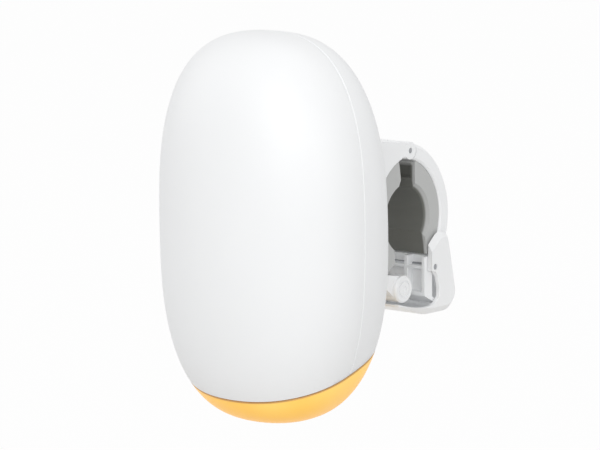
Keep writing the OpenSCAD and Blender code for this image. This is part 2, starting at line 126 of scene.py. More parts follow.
def seen_plain(tree):
    """A mask that is 1 for what the camera sees directly, in a reflection or through something clear."""
    rays = add(tree, "ShaderNodeLightPath").outputs
    seen = rays["Is Camera Ray"]
    for other in ("Is Transmission Ray", "Is Glossy Ray"):
        seen = add(tree, "ShaderNodeMath", {"operation": "MAXIMUM"}, {0: seen, 1: rays[other]}).outputs[0]
    return seen


def new_piece(name, mesh, body=None, material=None):
    """Links a mesh as an object, and rides it on a body unless it is part of the studio."""
    piece = bpy.data.objects.new(name, mesh)
    bpy.context.scene.collection.objects.link(piece)
    if material:
        mesh.materials.append(material)
    if body:
        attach(piece, body)
    return piece


# Matt paint on board: a flat pale grey that changes a little in tone over a hand's width or so, without any shine.
floor_paint, tree = new_material("matt_white_studio_floor")
place = add(tree, "ShaderNodeTexCoord").outputs["Object"]
mottle = add(tree, "ShaderNodeTexNoise", {"Scale": FLOOR_PATCHES, "Detail": 2.0}, {"Vector": place})
tint = add(tree, "ShaderNodeMix", {"data_type": "RGBA", 6: linear(FLOOR_COLOUR), 7: linear(FLOOR_PALE)},
           {0: mottle.outputs["Fac"]})
paint = add(tree, "ShaderNodeBsdfDiffuse", {}, {"Color": tint.outputs[2]})
white = add(tree, "ShaderNodeEmission", {"Color": (1, 1, 1, 1), "Strength": 1.0})
share = add(tree, "ShaderNodeMath", {"operation": "MULTIPLY", 1: FLOOR_WHITE_SHARE}, {0: seen_plain(tree)})
blend = add(tree, "ShaderNodeMixShader", {}, {0: share.outputs[0], 1: paint.outputs[0], 2: white.outputs[0]})
add(tree, "ShaderNodeOutputMaterial", {}, {"Surface": blend.outputs[0]})

floor_mesh = bpy.data.meshes.new("floor")
half, height = FLOOR_SIZE / 2, cad_low.z - FLOOR_DROP
floor_mesh.from_pydata([(-half, -half, height), (half, -half, height), (half, half, height), (-half, half, height)],
                       [], [(0, 1, 2, 3)])
new_piece("floor", floor_mesh, material=floor_paint)

room = bpy.data.worlds.new("white_room")
bpy.context.scene.world = room
room.use_nodes = True
tree = room.node_tree
tree.nodes.clear()
fill = add(tree, "ShaderNodeBackground", {"Color": (1, 1, 1, 1), "Strength": ROOM_LIGHT})
shown = add(tree, "ShaderNodeBackground", {"Color": (1, 1, 1, 1), "Strength": 1.0})
blend = add(tree, "ShaderNodeMixShader", {}, {0: seen_plain(tree), 1: fill.outputs[0], 2: shown.outputs[0]})
add(tree, "ShaderNodeOutputWorld", {}, {"Surface": blend.outputs[0]})

for name, place, width, watts in PANELS:
    lamp = bpy.data.lights.new(name, "AREA")
    lamp.energy = watts
    lamp.size = width
    panel = bpy.data.objects.new(name, lamp)
    bpy.context.scene.collection.objects.link(panel)
    panel.location = place
    panel.rotation_mode = "QUATERNION"
    panel.rotation_quaternion = (BODY_CENTRE - Vector(place)).to_track_quat("-Z", "Y")


# The two shells. Each is a moulding of white ABS, 2.2 mm thick, spark-eroded to a fine satin. Together they make
# a pebble, and they meet in a hairline joint where both edges are broken by 0.3 mm.
BODY_WIDTH, BODY_HEIGHT = 80.0, 130.0
FRONT_DEPTH, REAR_DEPTH = 30.0, 26.7  # from the parting plane
WALL = 2.2
# How square the pebble's ovals are, where 2 is an ellipse: seen from the front, from the side, and from above.
SIDE_POWER, FRONT_POWER, REAR_POWER = 2.74, 2.87, 2.27
FRONT_PLAN, REAR_PLAN = 2.12, 3.02
FRONT_BELLY, REAR_BELLY = 0.037, 0.079  # the share by which one half of the height is fuller than the other
SEAM_DROP, SEAM_SLOPE, SEAM_GAP = 46.4, math.tan(math.radians(23.6)), 0.3  # the lens seam
BROKEN_EDGE = 0.3
SHELL_COLUMNS, SHELL_ROWS = 110, 60
COLUMN_SWEEP = 3.1  # radians from the top down, in which a column meets the seam
SHELL_RIM_REACH = 42.0  # from the body's centre to the seam
HALVINGS = 44
LEAST_DEPTH = 4.0  # keeps the parting edge's angle small near the top, where the shell has no depth
CASE_SCREWS = [(s * x, z) for x, z in ((27.0, 42.0), (24.0, -33.0)) for s in (-1, 1)]
POST_RADIUS, POST_GAP, CASE_PILOT = 3.4, 0.15, 1.15
PILOT_MOUTH = 0.5  # the chamfer that starts the screw
CREASE_DEGREES = 40
SLIVER = 2e-6  # metres; a cut leaves edges shorter than this
SHELL_WHITE = "#F5F6F7"


def moulded(name, colour, roughness, grain_mm, grain_depth_mm):
    """A moulded plastic of one colour, with its mould's fine grain and a slight change of tone across the piece."""
    tone_mm, darker, plastic_ior = 45.0, 0.965, 1.53
    material, tree = new_material(name)
    place = add(tree, "ShaderNodeTexCoord").outputs["Object"]
    grain = add(tree, "ShaderNodeTexNoise", {"Scale": 1 / (grain_mm * MM), "Detail": 3.0, "Roughness": 0.6},
                {"Vector": place})
    tone = add(tree, "ShaderNodeTexNoise", {"Scale": 1 / (tone_mm * MM), "Detail": 2.0}, {"Vector": place})
    dark = [c * darker for c in linear(colour)[:3]] + [1.0]
    shade = add(tree, "ShaderNodeMix", {"data_type": "RGBA", 6: dark, 7: linear(colour)}, {0: tone.outputs["Fac"]})
    gloss = add(tree, "ShaderNodeMapRange", {"To Min": roughness - 0.04, "To Max": roughness + 0.05},
                {"Value": grain.outputs["Fac"]})
    relief = add(tree, "ShaderNodeBump", {"Strength": 0.5, "Distance": grain_depth_mm * MM},
                 {"Height": grain.outputs["Fac"]})
    surface = add(tree, "ShaderNodeBsdfPrincipled", {"IOR": plastic_ior}, {
        "Base Color": shade.outputs[2], "Roughness": gloss.outputs[0], "Normal": relief.outputs[0]})
    add(tree, "ShaderNodeOutputMaterial", {}, {"Surface": surface.outputs[0]})
    return material


def half_width(z, t=0.0):
    """Half the body's width at a height from its centre, t mm under the skin."""
    return (BODY_WIDTH / 2 - t) * max(1 - (abs(z) / (BODY_HEIGHT / 2 - t)) ** SIDE_POWER, 0) ** (1 / SIDE_POWER)


def skin_y(side, x, z, t=0.0):
    """The skin's place behind (side 1) or ahead (side -1) of the parting plane, t mm under the skin."""
    depth, power, plan, belly = (
        (REAR_DEPTH, REAR_POWER, REAR_PLAN, -REAR_BELLY) if side > 0
        else (FRONT_DEPTH, FRONT_POWER, FRONT_PLAN, FRONT_BELLY))
    width = half_width(z, t)
    if width <= 0 or abs(x) >= width:
        return 0.0
    reach = (depth - t) * (1 - (abs(z) / (BODY_HEIGHT / 2 - t)) ** power) ** (1 / power)
    return side * reach * (1 + belly * 2 * z / BODY_HEIGHT) * (1 - (abs(x) / width) ** plan) ** (1 / plan)


def largest(inside):
    """The largest share from 0 to 1 that is still inside, found by halving."""
    low, high = 0.0, 1.0
    for _ in range(HALVINGS):
        middle = (low + high) / 2
        low, high = (middle, high) if inside(middle) else (low, middle)
    return low


def shell_point(side, q, s, t):
    """A point on the shell's skin, t mm under it, at a plan angle q and a height angle s, from the body's centre."""
    z = (BODY_HEIGHT / 2 - t) * math.copysign(abs(math.sin(s)) ** (2 / SIDE_POWER), s)
    plan = REAR_PLAN if side > 0 else FRONT_PLAN
    g = (abs(math.cos(q)) ** plan + abs(math.sin(q)) ** plan) ** (-1 / plan)
    return Vector((half_width(z, t) * g * math.cos(q), skin_y(side, 0.0, z, t) * g * math.sin(q), z))


def half_shell(side):
    """A shell's points, in mm from the body's centre, and faces. Columns rise from the lens seam to the top over
    the outer skin and over the inner skin, and the open edges between the two are broken."""
    def column(i, t):
        """The points of one column. The first and last outer columns make the broken edge along the parting plane."""
        ends = {0: 0.0, SHELL_COLUMNS: math.pi}

        def at(s, deep=0.0):
            """The column's point at a height angle, at least deep mm under the skin."""
            if i in ends:
                return shell_point(side, ends[i], s, BROKEN_EDGE if t == 0.0 else max(t, deep))
            depth = abs(skin_y(side, 0.0, shell_point(side, 0.0, s, 0.0).z))
            near = BROKEN_EDGE / max(depth, LEAST_DEPTH)
            q = math.pi * (i - 1) / (SHELL_COLUMNS - 2)
            return shell_point(side, min(max(q, near), math.pi - near), s, max(t, deep))

        def above(share, deep=0.0):
            """Whether the point that far down the column is still above the seam."""
            p = at(math.pi / 2 - COLUMN_SWEEP * share, deep)
            return p.z > -SEAM_DROP + SEAM_GAP / 2 + p.y * SEAM_SLOPE

        rim = math.pi / 2 - COLUMN_SWEEP * largest(above)
        broken = math.pi / 2 - COLUMN_SWEEP * largest(lambda share: above(share, BROKEN_EDGE))
        start = rim + BROKEN_EDGE / SHELL_RIM_REACH
        rest = [start + (math.pi / 2 - start) * j / (SHELL_ROWS - 1) for j in range(SHELL_ROWS)]
        return [at(broken, BROKEN_EDGE)] + [at(s) for s in rest]

    across, up = SHELL_COLUMNS + 1, SHELL_ROWS + 1
    points = [p for t in (0.0, WALL) for i in range(across) for p in column(i, t)]
    faces = []
    for skin in (0, across * up):
        faces += [(skin + i * up + j, skin + (i + 1) * up + j, skin + (i + 1) * up + j + 1, skin + i * up + j + 1)
                  for i in range(across - 1) for j in range(up - 1)]
    inner = across * up
    faces += [(i * up, (i + 1) * up, inner + (i + 1) * up, inner + i * up) for i in range(across - 1)]
    for first in (0, (across - 1) * up):
        faces += [(first + j, first + j + 1, inner + first + j + 1, inner + first + j) for j in range(up - 1)]
    return points, faces


# ABS from a spark-eroded mould: a soft white with wide, silky highlights. The real grain is about a tenth of a
# millimetre; it is drawn three times as coarse, so that it shows.
shell_plastic = moulded("satin_white_moulded_abs", SHELL_WHITE, roughness=0.4, grain_mm=0.35, grain_depth_mm=0.012)


def to_place(points):
    """Points in mm from the body's centre, in metres in the shared frame."""
    return [BODY_CENTRE + Vector(p) * MM for p in points]


def mesh_of(name, points, faces, sharp=CREASE_DEGREES):
    """A smooth-shaded mesh with outward faces, creased where it turns by more than sharp degrees."""
    mesh = bpy.data.meshes.new(name)
    mesh.from_pydata(points, [], faces)
    work = bmesh.new()
    work.from_mesh(mesh)
    bmesh.ops.remove_doubles(work, verts=work.verts, dist=1e-7)
    bmesh.ops.recalc_face_normals(work, faces=work.faces)
    work.to_mesh(mesh)
    work.free()
    mesh.shade_smooth()
    mesh.set_sharp_from_angle(angle=math.radians(sharp))
    return mesh


def turned(x, z, profile, count=40, tube=False):
    """A closed shape turned about a line along Y at x and z. The profile lists (radius, y) from end to end, and a
    y may be a function of x and z, so that the end follows a curved wall. A tube's profile closes on itself."""
    points, faces = [], []
    for radius, y in profile:
        for i in range(count):
            a = 2 * math.pi * i / count
            px, pz = x + radius * math.cos(a), z + radius * math.sin(a)
            points.append((px, y(px, pz) if callable(y) else y, pz))
    for row in range(len(profile) - 1):
        a, b = row * count, (row + 1) * count
        faces += [(a + i, b + i, b + (i + 1) % count, a + (i + 1) % count) for i in range(count)]
    if tube:
        faces += [(len(points) - count + i, i, (i + 1) % count, len(points) - count + (i + 1) % count)
                  for i in range(count)]
    else:
        faces += [tuple(range(count)), tuple(reversed(range(len(points) - count, len(points))))]
    return points, faces


def joined(parts):
    """Several point and face lists as one."""
    points, faces = [], []
    for some_points, some_faces in parts:
        start = len(points)
        points += list(some_points)
        faces += [tuple(start + k for k in face) for face in some_faces]
    return points, faces


def carve(piece, operation, parts):
    """Unites closed shapes with a piece or takes them out of it. The shapes do not touch one another."""
    points, faces = joined(parts)
    tool = bpy.data.objects.new("tool", mesh_of("tool", to_place(points), faces))
    bpy.context.scene.collection.objects.link(tool)
    step = piece.modifiers.new("carve", "BOOLEAN")
    step.operation, step.solver, step.object = operation, "EXACT", tool
    done = bpy.data.meshes.new_from_object(piece.evaluated_get(bpy.context.evaluated_depsgraph_get()))
    piece.modifiers.clear()
    piece.data = done
    bpy.data.objects.remove(tool)
    work = bmesh.new()
    work.from_mesh(done)
    bmesh.ops.dissolve_degenerate(work, dist=SLIVER, edges=work.edges)
    work.to_mesh(done)
    work.free()
    done.shade_smooth()
    done.set_sharp_from_angle(angle=math.radians(CREASE_DEGREES))


front_points, front_faces = half_shell(-1)
front = new_piece("front_moulding", mesh_of("front_moulding", to_place(front_points), front_faces),
                  "unit", shell_plastic)
carve(front, "UNION", [turned(x, z, [(POST_RADIUS, lambda px, pz: skin_y(-1, px, pz, WALL / 2)),
                                     (POST_RADIUS, -POST_GAP)]) for x, z in CASE_SCREWS])
carve(front, "DIFFERENCE", [turned(x, z, [(CASE_PILOT, skin_y(-1, x, z) + 2 * WALL), (CASE_PILOT, -1.0),
                                          (CASE_PILOT + PILOT_MOUTH, 0.5)]) for x, z in CASE_SCREWS])
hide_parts("front_shell")


# The rear shell has every opening: a turned hole for each of the five buttons, the loudspeaker's grille, the
# charging slot and four deep screw seats. Inside it carries the screw posts, the board's standoffs and the ring
# that centres the loudspeaker; the pad outside it takes the clamp's bracket.
BUTTON_Y, BUTTON_PITCH, BUTTON_HOLE, BUTTON_LIP_X = 8.0, 12.0, 4.3, 31.8
BUTTON_COUNT = 5
GRILLE_HEIGHT, GRILLE_PITCH, GRILLE_HOLE, GRILLE_RINGS = 44.2, 3.1, 0.9, 3
GRILLE_REACH, GRILLE_CHAMFER = 3.5, 0.5
RING_BORE, RING_RADIUS, RING_FRONT, RING_BACK = 14.3, 15.5, -7.2, -2.3  # the last two from the skin
USB_Z, USB_RADIUS, USB_REACH = -30.2, 1.9, 2.85
STANDOFFS = [(s * 16.0, z) for z in (19.0, -27.0) for s in (-1, 1)]
STANDOFF_RADIUS, STANDOFF_PILOT, BOARD_BACK = 2.6, 6, 15.6  # radius, depth of the pilot, and the board's rear face
CLAMP_Z = -3.0  # the bar's axis, from the body's centre
BRACKET_SCREWS = [(s * 13.0, z + CLAMP_Z) for z in (15.0, -15.0) for s in (-1, 1)]
PAD_WIDTH, PAD_HEIGHT, PAD_INSIDE, PAD_FACE = 34.0, 46.0, 24.5, 27.4
CASE_BORE, HEAD_BORE, HEAD_DEPTH = 1.6, 3.0, 7.0
# The loudspeaker and its grille lean with the wall, whose slope is taken over 10 mm.
lean = math.atan((skin_y(1, 0, GRILLE_HEIGHT - 5) - skin_y(1, 0, GRILLE_HEIGHT + 5)) / 10)
SPEAKER_PLACE = (Matrix.Translation((0, skin_y(1, 0, GRILLE_HEIGHT), GRILLE_HEIGHT))
                 @ Matrix.Rotation(lean, 4, "X"))


def box(low, high):
    """A block between two corners."""
    points = [(x, y, z) for x in (low[0], high[0]) for y in (low[1], high[1]) for z in (low[2], high[2])]
    return points, [(0, 1, 3, 2), (4, 6, 7, 5), (0, 4, 5, 1), (2, 3, 7, 6), (0, 2, 6, 4), (1, 5, 7, 3)]


def moved(part, place):
    """A shape's points and faces, with the points moved by a matrix."""
    points, faces = part
    return [place @ Vector(p) for p in points], faces


def head_seat(x, z):
    """How far back the head of the case screw at x and z sits."""
    return skin_y(1, abs(x) + POST_RADIUS, z) - HEAD_DEPTH


def middle_wall(x, z):
    """The middle of the rear wall's thickness, where the pillars inside end."""
    return skin_y(1, x, z, WALL / 2)


def slot_shape(radius, reach, y0, y1, count=12):
    """A slot with round ends, through the wall at the charging socket."""
    outline = []
    for side in (1, -1):
        for i in range(count + 1):
            a = math.pi * i / count - math.pi / 2 * side
            outline.append((side * reach + radius * math.cos(a), USB_Z + radius * math.sin(a)))
    n = len(outline)
    points = [(x, y, z) for y in (y0, y1) for x, z in outline]
    faces = [tuple(range(n)), tuple(reversed(range(n, 2 * n)))]
    return points, faces + [(i, n + i, n + (i + 1) % n, (i + 1) % n) for i in range(n)]


rear_points, rear_faces = half_shell(1)
rear = new_piece("rear_moulding", mesh_of("rear_moulding", to_place(rear_points), rear_faces),
                 "unit", shell_plastic)
posts = [turned(x, z, [(POST_RADIUS, POST_GAP), (POST_RADIUS, middle_wall)]) for x, z in CASE_SCREWS]
standoffs = [turned(x, z, [(STANDOFF_RADIUS, BOARD_BACK), (STANDOFF_RADIUS, middle_wall)]) for x, z in STANDOFFS]
pad = box((-PAD_WIDTH / 2, PAD_INSIDE, CLAMP_Z - PAD_HEIGHT / 2), (PAD_WIDTH / 2, PAD_FACE, CLAMP_Z + PAD_HEIGHT / 2))
ring = turned(0, 0, [(RING_BORE, RING_FRONT), (RING_RADIUS, RING_FRONT), (RING_RADIUS, RING_BACK),
                     (RING_BORE, RING_BACK)], 64, tube=True)
carve(rear, "UNION", posts + standoffs + [pad, moved(ring, SPEAKER_PLACE)])

case_bores = [turned(x, z, [(CASE_BORE, -1.0), (CASE_BORE, head_seat(x, z)), (HEAD_BORE, head_seat(x, z)),
                            (HEAD_BORE, REAR_DEPTH + 1)]) for x, z in CASE_SCREWS]
pilots = [turned(x, z, [(CASE_PILOT, BOARD_BACK - 1), (CASE_PILOT, BOARD_BACK + STANDOFF_PILOT)])
          for x, z in STANDOFFS]
bracket_bores = [turned(x, z, [(HEAD_BORE, PAD_INSIDE - 4), (HEAD_BORE, PAD_INSIDE), (CASE_BORE, PAD_INSIDE),
                               (CASE_BORE, PAD_FACE + 1)]) for x, z in BRACKET_SCREWS]
button_hole = turned(0, 0, [(BUTTON_HOLE, BUTTON_LIP_X), (BUTTON_HOLE, BODY_WIDTH / 2 + 1)], 64)
button_holes = [moved(button_hole, Matrix.Translation((0, BUTTON_Y, (i - BUTTON_COUNT // 2) * BUTTON_PITCH))
                      @ Matrix.Rotation(math.pi / 2, 4, "Z")) for i in range(BUTTON_COUNT)]
usb_slot = slot_shape(USB_RADIUS, USB_REACH, REAR_DEPTH - 2 * WALL, REAR_DEPTH + 2)
carve(rear, "DIFFERENCE", case_bores + pilots + bracket_bores + button_holes + [usb_slot])

# The grille: one hole in the middle, then rings of 6, 12 and 18, each broken at the skin.
grille = [(0.0, 0.0)]
for n in range(1, GRILLE_RINGS + 1):
    for i in range(6 * n):
        a = math.pi * i / (3 * n)
        grille.append((n * GRILLE_PITCH * math.cos(a), n * GRILLE_PITCH * math.sin(a)))
grille_hole = [(GRILLE_HOLE, -GRILLE_REACH), (GRILLE_HOLE, -GRILLE_CHAMFER / 2),
               (GRILLE_HOLE + GRILLE_CHAMFER, GRILLE_CHAMFER / 2)]
carve(rear, "DIFFERENCE", [moved(turned(x, z, grille_hole, 20), SPEAKER_PLACE) for x, z in grille])
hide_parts("rear_shell")


# The light lens. It closes the bottom of the pebble: amber polycarbonate, 2.2 mm thick, frosted inside so that
# the lamps behind it spread into one even glow. It snaps into the shells along a sloping seam.
LENS_SPOKES, LENS_ROWS = 160, 30
LENS_RIM_REACH = 40.0  # from the body's centre to the seam
LENS_BASE, LENS_EDGE = "#E6B93A", "#BC8846"
LENS_BRIGHT, LENS_DEEP = "#FFDE90", "#F29C14"  # the light, near a lamp and far from one
LAMP_SPOTS = ((-19.0, -12.0, -50.0), (14.0, -16.0, -52.0), (24.0, -4.0, -47.0))
LAMP_REACH, LAMP_SHARE = 13.0, 0.5
DARK_HEIGHT, LIT_HEIGHT = -63.0, -47.0  # the light fades downwards between them
RIM_DULL, RIM_CLEAR = -0.25, -0.9  # from the seam: the rim is dull above the first and clear below the second
LENS_GLOW, RIM_GLOW = 0.38, 0.08


def lens_bowl():
    """The lens's points and faces, in mm from the body's centre, from its broken rim down to its lowest point."""
    turns = [2 * math.pi * i / LENS_SPOKES for i in range(LENS_SPOKES)]

    def at(turn, z, t):
        """The point at a turn and a height, t mm under the skin."""
        side = 1 if math.sin(turn) >= 0 else -1
        k = REAR_PLAN if side > 0 else FRONT_PLAN
        g = (abs(math.cos(turn)) ** k + abs(math.sin(turn)) ** k) ** (-1 / k)
        y = abs(skin_y(side, 0.0, z, t))
        return Vector((half_width(z, t) * g * math.cos(turn), y * g * math.sin(turn), z))

    def rim(turn, t):
        """The height at which the lens ends at a turn, t mm under the skin."""
        low, high = -60.0, -20.0

        def inside(share):
            """Whether the point that share of the way up is still below the seam."""
            p = at(turn, low + (high - low) * share, t)
            return p.z < -SEAM_DROP - SEAM_GAP / 2 + p.y * SEAM_SLOPE

        return low + (high - low) * largest(inside)

    outer, inner = [], []
    for turn in turns:
        for t, column in ((0.0, outer), (WALL, inner)):
            bottom = BODY_HEIGHT / 2 - t
            top = math.asin((-rim(turn, t) / bottom) ** (SIDE_POWER / 2))
            start = top + (BROKEN_EDGE / LENS_RIM_REACH if t == 0.0 else 0.0)
            rows = [start + (math.pi / 2 - start) * i / LENS_ROWS for i in range(LENS_ROWS)]
            line = [at(turn, -bottom * math.sin(row) ** (2 / SIDE_POWER), t) for row in rows]
            if t == 0.0:
                line.insert(0, at(turn, rim(turn, BROKEN_EDGE), BROKEN_EDGE))
            column.append(line)
    points = [Vector((0, 0, -BODY_HEIGHT / 2)), Vector((0, 0, -BODY_HEIGHT / 2 + WALL))]
    points += sum(outer, []) + sum(inner, [])
    n, over, under = len(turns), LENS_ROWS + 1, LENS_ROWS
    faces = []
    for i in range(n):
        a, b = 2 + i * over, 2 + (i + 1) % n * over
        c, d = 2 + n * over + i * under, 2 + n * over + (i + 1) % n * under
        faces += [(0, a + over - 1, b + over - 1), (1, d + under - 1, c + under - 1), (a, b, d, c)]
        faces += [(a + k, b + k, b + k + 1, a + k + 1) for k in range(over - 1)]
        faces += [(d + k, c + k, c + k + 1, d + k + 1) for k in range(under - 1)]
    return points, faces


# Polycarbonate with a frosted inner face. The light of the lamps within is painted on as emission: an even yellow
# amber, with painted pools of paler, brighter light over each lamp, and a painted fade to deeper orange at the bottom
# and where the wall turns away. The rim against the shells is dull and brownish, with less painted glow. The frost is
# finer than a tenth of a millimetre and is drawn as faint ripples of 1.2 mm, so that the gloss is not even.
lens_plastic, tree = new_material("lit_frosted_amber_polycarbonate")
place = add(tree, "ShaderNodeTexCoord").outputs["Object"]
parts = add(tree, "ShaderNodeSeparateXYZ", {}, {"Vector": place}).outputs
glow = add(tree, "ShaderNodeMapRange", {"From Min": BODY_CENTRE.z + DARK_HEIGHT * MM,
                                        "From Max": BODY_CENTRE.z + LIT_HEIGHT * MM},
           {"Value": parts["Z"]}).outputs[0]
# Painted light: a brighter pool of emission round each lamp.
for spot in LAMP_SPOTS:
    away = add(tree, "ShaderNodeVectorMath", {"operation": "DISTANCE", 1: BODY_CENTRE + Vector(spot) * MM},
               {0: place}).outputs["Value"]
    near = add(tree, "ShaderNodeMapRange", {"interpolation_type": "SMOOTHSTEP", "From Min": LAMP_REACH * MM,
                                            "From Max": 0.0, "To Min": 0.0, "To Max": LAMP_SHARE},
               {"Value": away}).outputs[0]
    glow = add(tree, "ShaderNodeMath", {"operation": "ADD", "use_clamp": True}, {0: glow, 1: near}).outputs[0]
grazing = add(tree, "ShaderNodeLayerWeight", {"Blend": 0.3}).outputs["Facing"]
through = add(tree, "ShaderNodeMapRange", {"From Min": 0.25, "From Max": 0.85, "To Min": 1.0, "To Max": 0.0},
              {"Value": grazing}).outputs[0]
glow = add(tree, "ShaderNodeMath", {"operation": "MULTIPLY"}, {0: glow, 1: through}).outputs[0]
shine = add(tree, "ShaderNodeMix", {"data_type": "RGBA", 6: linear(LENS_DEEP), 7: linear(LENS_BRIGHT)}, {0: glow})
fall = add(tree, "ShaderNodeMath", {
    "operation": "MULTIPLY_ADD", 1: -SEAM_SLOPE, 2: SEAM_DROP * MM - BODY_CENTRE.z + BODY_CENTRE.y * SEAM_SLOPE},
    {0: parts["Y"]}).outputs[0]
over_seam = add(tree, "ShaderNodeMath", {"operation": "ADD"}, {0: fall, 1: parts["Z"]}).outputs[0]
edge = add(tree, "ShaderNodeMapRange", {"interpolation_type": "SMOOTHSTEP", "From Min": RIM_CLEAR * MM,
                                        "From Max": RIM_DULL * MM}, {"Value": over_seam}).outputs[0]
amber = add(tree, "ShaderNodeMix", {"data_type": "RGBA", 6: linear(LENS_BASE), 7: linear(LENS_EDGE)}, {0: edge})
lit = add(tree, "ShaderNodeMapRange", {"To Min": LENS_GLOW, "To Max": RIM_GLOW}, {"Value": edge})
frost = add(tree, "ShaderNodeTexNoise", {"Scale": 1 / (1.2 * MM), "Detail": 4.0}, {"Vector": place}).outputs["Fac"]
relief = add(tree, "ShaderNodeBump", {"Strength": 0.3, "Distance": 0.01 * MM}, {"Height": frost})
gloss = add(tree, "ShaderNodeMapRange", {"To Min": 0.3, "To Max": 0.4}, {"Value": frost})
surface = add(tree, "ShaderNodeBsdfPrincipled", {"IOR": 1.58}, {
    "Base Color": amber.outputs[2], "Emission Strength": lit.outputs[0],
    "Emission Color": shine.outputs[2], "Roughness": gloss.outputs[0], "Normal": relief.outputs[0]})
add(tree, "ShaderNodeOutputMaterial", {}, {"Surface": surface.outputs[0]})

lens_points, lens_faces = lens_bowl()
lens = new_piece("lit_lens", mesh_of("lit_lens", to_place(lens_points), lens_faces), "unit", lens_plastic)
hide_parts("light_lens")


# The light chamber's roof and lamps. Above the lens lies a bright white moulded reflector, fixed to the underside
# of a small circuit board. Six amber light-emitting diodes, cast in clear epoxy, hang through its holes.
WELD_REACH = 0.003  # joins the corners that a CAD piece's faces share
EDGE_TURN, FLAT_TURN = math.radians(34), math.radians(0.5)  # an edge turns more, a flat face less
EDGE_STEPS = 3
FACE_WEIGHT = 50  # how far the large faces lead the shading at their corners


def soften(node, width_mm):
    """Joins a CAD piece's faces, rounds its edges and shades it smooth between them, all by modifiers."""
    for kind, settings in (
        ("WELD", {"merge_threshold": WELD_REACH * MM}),
        ("DECIMATE", {"decimate_type": "DISSOLVE", "angle_limit": FLAT_TURN}),
        ("BEVEL", {"width": width_mm * MM, "segments": EDGE_STEPS, "limit_method": "ANGLE",
                   "angle_limit": EDGE_TURN}),
        ("WEIGHTED_NORMAL", {"weight": FACE_WEIGHT}),
    ):
        step = nodes[node].modifiers.new(kind.lower(), kind)
        for key, value in settings.items():
            setattr(step, key, value)


def dress(node, material, width_mm=0.0):
    """Gives a CAD piece its material, and rounds its edges if a width is given."""
    nodes[node].data.materials.clear()
    nodes[node].data.materials.append(material)
    if width_mm:
        soften(node, width_mm)


# ABS loaded with white pigment and left glossy, so that the roof throws the light down: whiter than the shells, and
# a little warm, a tint of the lamps' light painted into its colour.
roof_plastic = moulded("bright_white_reflector_abs", "#FBFAF6", roughness=0.25, grain_mm=0.6, grain_depth_mm=0.006)
dress("reflector", roof_plastic, width_mm=0.2)

# Green mask over glass-fibre board. The copper tracks below it, 0.45 mm wide and 1.3 mm apart, stand a little proud
# and look paler, and the glass's weave breaks the gloss in patches of 0.8 mm.
TRACK_UNIT = 2.5  # the length that the pattern's numbers count in
board_mask, tree = new_material("green_solder_mask_on_fr4")
place = add(tree, "ShaderNodeTexCoord").outputs["Object"]
on_board = add(tree, "ShaderNodeMapping", {"Rotation": (math.pi / 2, 0, 0), "Scale": [1 / (TRACK_UNIT * MM)] * 3},
               {"Vector": place})
tracks = add(tree, "ShaderNodeTexBrick", {
    "offset": 0.37, "squash": 1.6, "squash_frequency": 3, "Color1": linear("#1F5A38"), "Color2": linear("#1B5233"),
    "Mortar": linear("#3B7B4F"), "Scale": 1.0, "Mortar Size": 0.09, "Brick Width": 2.6, "Row Height": 0.52},
    {"Vector": on_board.outputs[0]})
relief = add(tree, "ShaderNodeBump", {"Strength": 0.6, "Distance": 0.03 * MM}, {"Height": tracks.outputs["Fac"]})
weave = add(tree, "ShaderNodeTexNoise", {"Scale": 1 / (0.8 * MM), "Detail": 2.0}, {"Vector": place})
gloss = add(tree, "ShaderNodeMapRange", {"To Min": 0.26, "To Max": 0.38}, {"Value": weave.outputs["Fac"]})
surface = add(tree, "ShaderNodeBsdfPrincipled", {"IOR": 1.55}, {
    "Base Color": tracks.outputs["Color"], "Roughness": gloss.outputs[0], "Normal": relief.outputs[0]})
add(tree, "ShaderNodeOutputMaterial", {}, {"Surface": surface.outputs[0]})
dress("led_board", board_mask, width_mm=0.1)

# Clear epoxy over a lit chip: it glows from within, pale and brightest in the middle of the dome and deeper amber
# round its outline, under a wet-looking gloss.
lamp_epoxy, tree = new_material("lit_amber_epoxy")
facing = add(tree, "ShaderNodeLayerWeight", {"Blend": 0.4}).outputs["Facing"]
shine = add(tree, "ShaderNodeMix", {"data_type": "RGBA", 6: linear("#FFE3A8"), 7: linear("#F7A63C")}, {0: facing})
surface = add(tree, "ShaderNodeBsdfPrincipled",
              {"Base Color": linear("#F3C98A"), "Roughness": 0.12, "IOR": 1.54, "Emission Strength": 0.8},
              {"Emission Color": shine.outputs[2]})
add(tree, "ShaderNodeOutputMaterial", {}, {"Surface": surface.outputs[0]})
dress("leds", lamp_epoxy, width_mm=0.1)


# The main board and what is soldered to it. It stands on four pillars of the rear shell, held by pan-head screws.
# Four black packages sit on its rear face, and the charging socket reaches to the slot in the shell.
BOARD_THICKNESS, BOARD_SCREW_REACH = 1.6, 5
BOARD_SCREW = (2.5, 1.5, 1.14)  # head radius, head height and thread radius
THREAD_PITCH, THREAD_CORE = 0.8, 0.8  # the core is a share of the thread's radius
HEAD_DOME = ((0.7, 0.0), (0.93, 0.16), (1.0, 0.42), (1.0, 1.0))  # shares of a head's radius and height, from its top
CROSS_REACH, CROSS_WIDTH, CROSS_DEPTH = 0.55, 0.24, 0.6  # shares of the head's radius, of the reach, of its height
TONGUE_HALF_HEIGHT, TONGUE_HALF_WIDTH = 0.37, 3.56


